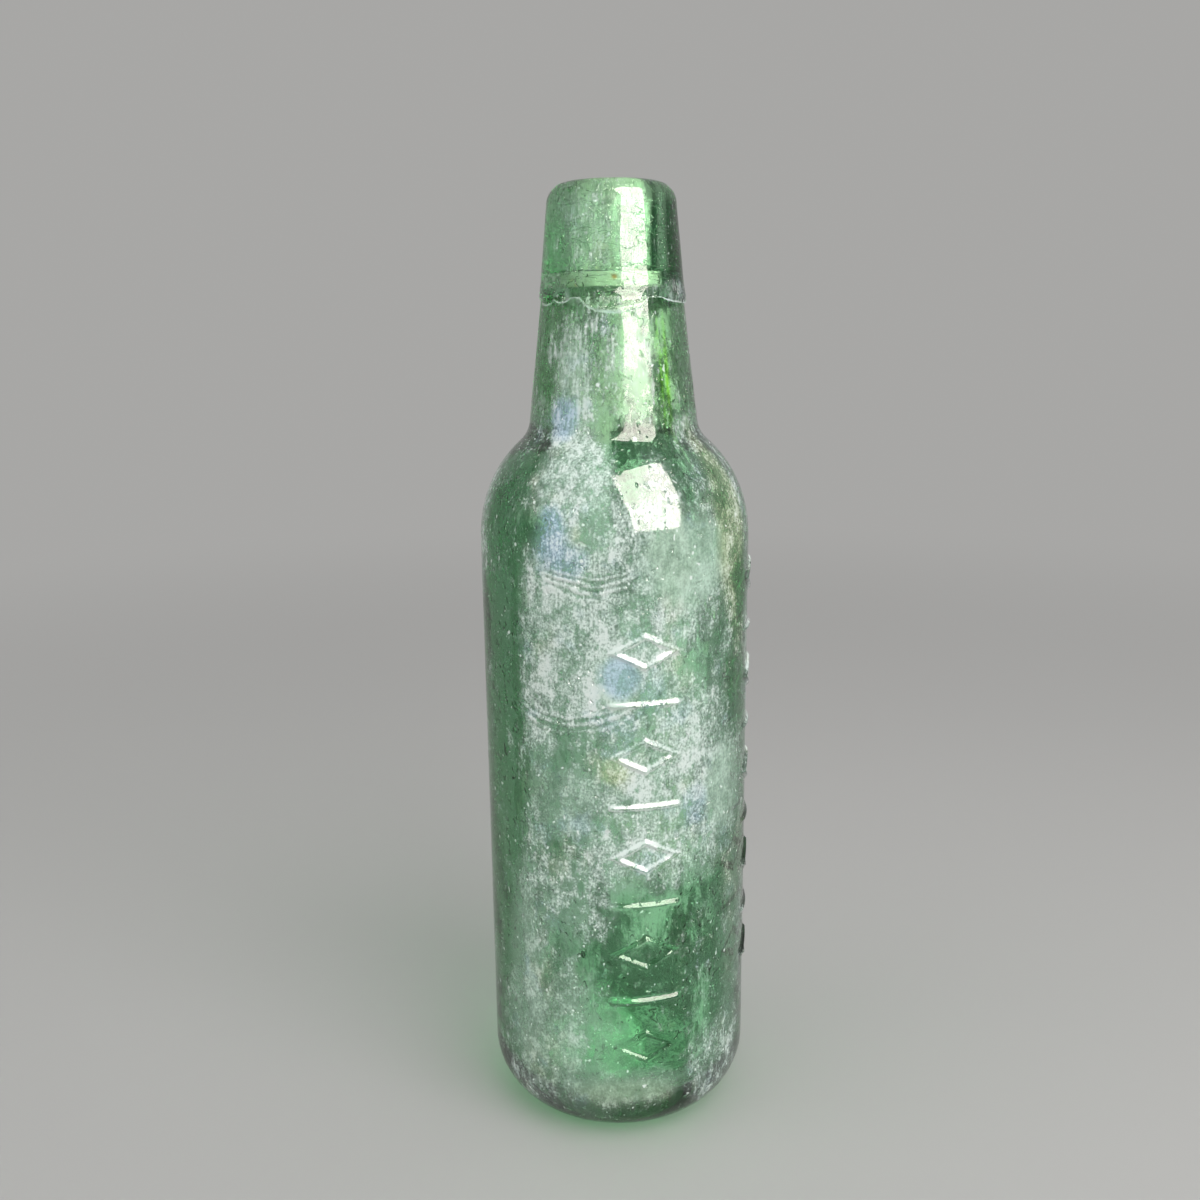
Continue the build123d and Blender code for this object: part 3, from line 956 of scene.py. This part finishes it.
def wornGlass(name, look):
    # clear glass with a rippled and pitted skin, clouds of white scale under its gloss, and painted shade and
    # a painted highlight in places
    finish = Finish(name)
    axes = finish.axes()
    neck = finish.easing(axes[2], glass["neckLow"] * mm, glass["neckHigh"] * mm)
    ripple = finish.noise(*grains["ripple"])
    pit = finish.easing(finish.noise(*grains["pit"]), *edges["pit"])
    normal = finish.bump(pit, -glass["pits"], finish.bump(ripple, glass["ripple"]))
    # the moulded lines on the body, and the painted highlight along the lip's runs
    mouldingAndHighlight = finish.attribute("mouldingAndHighlight")
    lineAndHighlightEdge = mouldingAndHighlight * (1 - mouldingAndHighlight) * 4
    cloud = finish.attribute("scale")
    mottle = finish.noise(*grains["mottle"])
    fine = finish.noise(*grains["fine"])
    drift = finish.noise(*grains["drift"])
    streak = finish.noise(*grains["streak"])
    flow, wobble = 0.0, (finish.noise(*grains["wobble"]) - 0.5) * glass["flowWobble"]
    for mark in look["flowMarks"]:
        flow = finish.rings(axes, wobble, *mark) + flow
    amount = cloud * gather["cloud"] + lineAndHighlightEdge * cloud * gather["lineAndHighlightEdge"] + flow * cloud * gather["flow"]
    for grain, share in ((mottle, gather["mottle"]), (fine, gather["fine"]), (drift, gather["drift"]),
                         (streak, neck * look["neckStreaks"] + look["streaks"])):
        amount = amount + (grain - 0.5) * share
    haze = finish.attribute("haze")
    flakes = finish.easing(amount, *edges["flakes"]) * (1 - haze * haziness["hides"])
    milk = finish.easing(amount, *edges["milk"]) * cloud
    scratch = finish.easing(finish.noise(*grains["scratch"]), *edges["scratch"]) \
        * finish.easing(drift, *edges["scratched"])
    # painted highlight: a broken white line along the lip's runs; the body has none
    rim = lineAndHighlightEdge * finish.easing(mottle + drift, *edges["rim"]) * look["edgeHighlight"]
    speck = finish.easing(finish.noise(*grains["speck"]), *edges["speck"]) * look["specks"]
    white = finish.clamp(
        flakes * look["flakes"] + milk * look["milk"] + haze * (mottle + haziness["even"]) * haziness["white"]
        + scratch * look["scratches"] * cloud + rim + speck)
    etched = finish.easing(drift + mottle, *edges["etch"]) * (neck * look["neckEtch"] + look["etch"])
    if look["flowMarks"]:
        normal = finish.bump(flow, glass["flow"], normal)
    if look["cracks"]:
        level = finish.noise(*grains["crack"]) - 0.5
        line = finish.node("ShaderNodeMath", {"operation": "ABSOLUTE"}, {0: level})
        normal = finish.bump(1 - finish.easing(line, *edges["crack"]), -look["cracks"], normal)

    blue, warm = finish.attribute("blue"), finish.attribute("warm")
    tint = finish.blend(neck, look["tint"], look["neckTint"])
    tint = finish.blend(warm, tint, glass["warmTint"])
    # streaks and specks in the glass, and painted shade at the sides, the bottom and the lip's right side and
    # top
    for azimuth, height, wide, tall, strength, stain in look["stainsAndShade"]:
        tint = finish.blend(finish.patch(axes, azimuth, height, wide, tall) * strength, tint, stain)
    skin = finish.coat({
        "Base Color": tint, "Transmission Weight": 1, "IOR": glass["ior"],
        "Roughness": milk * glass["milkRoughness"] + etched + glass["smoothest"],
        "Specular IOR Level": look["gloss"], "Normal": normal})
    someBlue = finish.easing(finish.noise(*grains["blue"]), *edges["blue"])
    someTan = finish.easing(finish.noise(*grains["tan"]), *edges["tan"])
    shade = finish.blend(haze, plainScale, hazyScale)
    for kind, share in (
            ("tan", someTan * (1 - haze)), ("paleBlue", someBlue), ("blue", blue), ("warm", warm)):
        strength, colour = scaleTints[kind]
        shade = finish.blend(share * strength, shade, colour)
    strength, colour = scaleTints["thick"]
    shade = finish.blend(flakes * flakes * strength + speck, shade, colour)
    chalk = finish.coat({
        "Base Color": shade, "Roughness": etched + glass["chalkRoughness"],
        "Specular IOR Level": look["gloss"], "Normal": normal})
    unseen = finish.node("ShaderNodeBsdfTransparent")
    surface = finish.blendShaders(finish.attribute("fused"), finish.blendShaders(white, skin, chalk), unseen)
    return throughGlass(finish, surface, look["colour"], look["density"])


def marbleGlass():
    # green glass, frosted in patches where it rolls on the bottle
    look = glass["marble"]
    finish = Finish("marble_glass")
    normal = finish.bump(finish.noise(*look["skin"]), look["skinDepth"])
    skin = finish.coat({
        "Base Color": (1, 1, 1, 1), "Transmission Weight": 1, "IOR": glass["ior"],
        "Roughness": finish.noise(*look["polish"]) * look["roughest"], "Normal": normal})
    frost = finish.coat({
        "Base Color": look["frostTint"], "Roughness": look["frostRoughness"], "Normal": normal})
    worn = finish.easing(finish.noise(*look["frost"]), *look["frostEdge"]) * look["frosted"]
    return throughGlass(finish, finish.blendShaders(worn, skin, frost), look["colour"], look["density"])


rubber = {
    "dark": (0.26, 0.32, 0.26, 1),
    "light": (0.6, 0.68, 0.56, 1),
    "blotch": (2.2, 0.8, 6, 0.65),
    "blotchDepth": 0.3,
    "stain": (3.1, 1, 4, 0.6, 5),
    "stainEdge": (0.55, 0.7),
    "stained": 0.8,
    "stainTint": (0.62, 0.36, 0.12, 1),
    "skin": (0.5, 1, 5, 0.7),
    "skinDepth": 0.12,
    "roughness": (0.55, 0.3),        # the least, and how much the blotches add
}


def agedRubber():
    # grey-green, blotched and stained
    finish = Finish("aged_rubber")
    blotch = finish.noise(*rubber["blotch"])
    stain = finish.easing(finish.noise(*rubber["stain"]), *rubber["stainEdge"])
    grey = finish.blend(blotch, rubber["dark"], rubber["light"])
    colour = finish.blend(stain * rubber["stained"], grey, rubber["stainTint"])
    swollen = finish.bump(blotch, rubber["blotchDepth"])
    normal = finish.bump(finish.noise(*rubber["skin"]), rubber["skinDepth"], swollen)
    least, added = rubber["roughness"]
    return finish.done(finish.coat({
        "Base Color": colour, "Roughness": blotch * added + least, "Normal": normal}))


# Degrees right of the front, height, half width in degrees, half height and strength of each cloud of bloom
bloomClouds = (
    (-22, 163, 28, 24, 1.0),
    (-28, 118, 22, 34, 0.85),
    (12, 108, 44, 34, 0.75),
    (-27, 74, 20, 26, 0.7),
    (16, 74, 30, 26, 0.8),
    (-18, 30, 12, 26, 0.7),
    (52, 26, 16, 22, 0.8),
    (20, 190, 60, 24, 0.4),
    (110, 120, 50, 60, 0.7),
    (170, 80, 40, 44, 0.6),
    (-110, 60, 44, 50, 0.65),
    (-150, 150, 40, 34, 0.7),
)
bloomLook = {
    "bodyTint": (0.96, 0.84, 0.92, 1),
    "lipTint": (0.78, 0.86, 0.78, 1),
    "warmTint": (0.95, 0.82, 0.6, 1),
    "mottle": (6, 1.7, 5, 0.75),
    "drift": (16, 1.8, 2, 0.6, 2.2),
    "streak": (0.9, 12, 5, 0.65, 4.4),
    "warm": (16, 1.6, 2, 0.5, 12.7),
    "warmEdge": (0.55, 0.7),
    "warmed": 0.5,
    "edge": (0.1, 1.0),
    "cover": 0.6,
    "relief": 0.3,
}


def scaleFinish(name, tone):
    # white scale: clouds of it broken up into mottles and upright streaks
    finish = Finish(name)
    cloud = finish.attribute("scale")
    mottle, drift, streak = (finish.noise(*bloomLook[grain]) for grain in ("mottle", "drift", "streak"))
    amount = cloud * 0.85 + (mottle - 0.5) * 5 + (drift - 0.5) * 1.6 + (streak - 0.5) * 2
    cover = finish.easing(amount, *bloomLook["edge"]) * bloomLook["cover"]
    warm = finish.easing(finish.noise(*bloomLook["warm"]), *bloomLook["warmEdge"])
    colour = finish.blend(warm * bloomLook["warmed"], tone, bloomLook["warmTint"])
    return finish.done(finish.coat({
        "Base Color": colour, "Roughness": 0.9, "Alpha": cover, "Specular IOR Level": 0.2,
        "Normal": finish.bump(mottle, bloomLook["relief"])}))


def dress(piece, material):
    piece.data.materials.clear()
    piece.data.materials.append(material)


# Studio: a pale floor and backdrop, a window-like lamp at the right and soft light round it

studio = {        # lengths in metres, directions in degrees right of the front and up
    "pale": (0.39, 0.387, 0.378),
    "floorTone": 1.3,
    "floorGrain": (240, 1, 3),
    "floorShade": 0.94,
    "floorShaded": 0.4,
    "floor": 12.0,
    "fadeFrom": 0.22,
    "fadeTo": 0.95,
    "ambient": 0.5,
    "aim": 0.14,        # height that the lamps are aimed at
    "windowAt": (36, 38),
    "windowReach": 0.75,
    "windowHalf": (21, 27),        # half its width and height, as angles seen from the bottle
    "windowPower": 4.0,
    "glintPower": 20.0,
    "glintColour": (1, 0.92, 0.86),
    "glintStep": 0.01,        # how far in front of the window it hangs
    "fillAt": (-65, 30),
    "fillReach": 1.1,
    "fillSize": 0.9,
    "fillPower": 2.0,
}
view = {
    "place": (-0.00369, -0.28869, 0.19538),
    "lens": 36,        # and as wide a sensor
    "down": 12.67,        # degrees
    "turn": -0.0117,        # radians
    "clip": 0.01,
}


def paleFloor():
    # a round floor that fades into the air's own pale tone, so that no edge shows from any side
    leaveAll()
    bpy.ops.mesh.primitive_circle_add(vertices=96, radius=studio["floor"], fill_type="NGON")
    floor = bpy.context.object
    floor.name = "pale_floor"
    bpy.ops.object.mode_set(mode="EDIT")
    bpy.ops.mesh.inset(thickness=studio["floor"] - studio["fadeFrom"])
    leaveAll()
    finish = Finish("pale_floor")
    radius = finish.axes()[3]
    tone = finish.noise(*studio["floorGrain"])
    near = tuple(studio["floorTone"] * part for part in studio["pale"])
    shade = tuple(studio["floorShade"] * part for part in near)
    colour = finish.blend(tone * studio["floorShaded"], (*near, 1), (*shade, 1))
    cloth = finish.coat({"Base Color": colour, "Roughness": 0.9, "Specular IOR Level": 0.2})
    far = finish.node("ShaderNodeEmission", None, {"Color": (*studio["pale"], 1), "Strength": 1})
    dress(floor, finish.done(finish.blendShaders(
        finish.easing(radius, studio["fadeFrom"], studio["fadeTo"]), cloth, far)))


def lampAt(name, direction, distance, size, power):
    azimuth, elevation = (radians(angle) for angle in direction)
    out = Vector((sin(azimuth) * cos(elevation), -cos(azimuth) * cos(elevation), sin(elevation)))
    leaveAll()
    bpy.ops.object.light_add(type="AREA", location=Vector((0, 0, studio["aim"])) + out * distance)
    lamp = bpy.context.object
    lamp.name = name
    lamp.data.shape = "RECTANGLE"
    lamp.data.size, lamp.data.size_y = size
    lamp.data.energy = power
    lamp.rotation_mode = "QUATERNION"
    lamp.rotation_quaternion = out.to_track_quat("Z", "Y")
    return lamp


def lightStudio():
    at, reach = studio["windowAt"], studio["windowReach"]
    pane = [2 * reach * tan(radians(half)) for half in studio["windowHalf"]]
    window = lampAt("window", at, reach, pane, studio["windowPower"])
    square = [studio["fillSize"]] * 2
    fill = lampAt("left_fill", studio["fillAt"], studio["fillReach"], square, studio["fillPower"])
    for lamp in (window, fill):
        lamp.visible_glossy = lamp.visible_transmission = False
    # what the glass reflects of the window, brighter than its light
    glint = lampAt("window_glint", at, reach - studio["glintStep"], pane, studio["glintPower"])
    glint.visible_diffuse = False
    glint.data.color = studio["glintColour"]

    world = bpy.data.worlds.new("studio_air")
    scene.world = world
    world.use_nodes = True
    nodes, links = world.node_tree.nodes, world.node_tree.links
    nodes.clear()
    rays = nodes.new("ShaderNodeLightPath")
    seen = rays.outputs["Is Camera Ray"]
    for kind in ("Is Glossy Ray", "Is Transmission Ray"):
        either = nodes.new("ShaderNodeMath")
        either.operation = "MAXIMUM"
        links.new(seen, either.inputs[0])
        links.new(rays.outputs[kind], either.inputs[1])
        seen = either.outputs[0]
    air = nodes.new("ShaderNodeMix")
    air.data_type = "RGBA"
    air.inputs[6].default_value = (*(studio["ambient"],) * 3, 1)
    air.inputs[7].default_value = (*studio["pale"], 1)
    links.new(seen, air.inputs[0])
    background = nodes.new("ShaderNodeBackground")
    links.new(air.outputs[2], background.inputs["Color"])
    output = nodes.new("ShaderNodeOutputWorld")
    links.new(background.outputs[0], output.inputs["Surface"])


def setCamera():
    bpy.ops.object.camera_add(location=view["place"])
    camera = bpy.context.object
    camera.name = "photo_view"
    camera.data.lens = camera.data.sensor_width = view["lens"]
    camera.rotation_mode = "ZXY"
    camera.rotation_euler = (radians(90 - view["down"]), 0, view["turn"])
    camera.data.clip_start = view["clip"]
    scene.camera = camera


print("blowing the body")
blown = blownBody()
print("laying the lip")
laid = laidLip()
print("seating the ring")
grooved = groovedRing()
print("dropping in the marble")
loose = looseMarble()
print("growing the bloom")
limeBloom = bodyBloom()
boreBloom = lipBloom()
for made in (blown, laid, grooved, loose, limeBloom, boreBloom):
    faces = sum(len(face.vertices) - 2 for face in made.data.polygons)
    print(made.name, len(made.data.vertices), "points", faces, "triangles")

print("finishing")
markFused(blown)
markFused(laid)
outerScale = cloudShare(outerClouds, onOutside)
silt = cloudShare(siltClouds, lambda radius, height: not onOutside(radius, height))
paint(blown, "scale", lambda *place: max(outerScale(*place), silt(*place)))
paint(blown, "blue", cloudShare(blueClouds, onOutside))
paint(blown, "warm", cloudShare(warmClouds, onOutside))
paint(blown, "haze", cloudShare(hazeClouds, onOutside))
paint(laid, "scale", cloudShare(lipClouds, lambda radius, height: radius > lip["scaleFrom"]))
paint(limeBloom, "scale", cloudShare(bloomClouds, lambda *place: True))
paint(boreBloom, "scale", lambda *place: bloom["lipScale"])
dress(blown, wornGlass("aqua_glass", glass["body"]))
dress(laid, wornGlass("lip_glass", glass["lip"]))
dress(grooved, agedRubber())
dress(loose, marbleGlass())
dress(limeBloom, scaleFinish("lime_scale", bloomLook["bodyTint"]))
dress(boreBloom, scaleFinish("bore_scale", bloomLook["lipTint"]))

for piece, material in (
        (blown, "aqua_glass"), (laid, "lip_glass"), (grooved, "aged_rubber"),
        (limeBloom, "aqua_glass"), (boreBloom, "lip_glass")):
    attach(piece, "bottle")
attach(loose, "marble")
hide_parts("bottle_body")
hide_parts("applied_lip")
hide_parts("seal_ring")
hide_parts("marble")

print("lighting")
paleFloor()
lightStudio()
setCamera()
scene.view_settings.view_transform = "Standard"
scene.cycles.max_bounces = 32
scene.cycles.transmission_bounces = 28
scene.cycles.transparent_max_bounces = 40
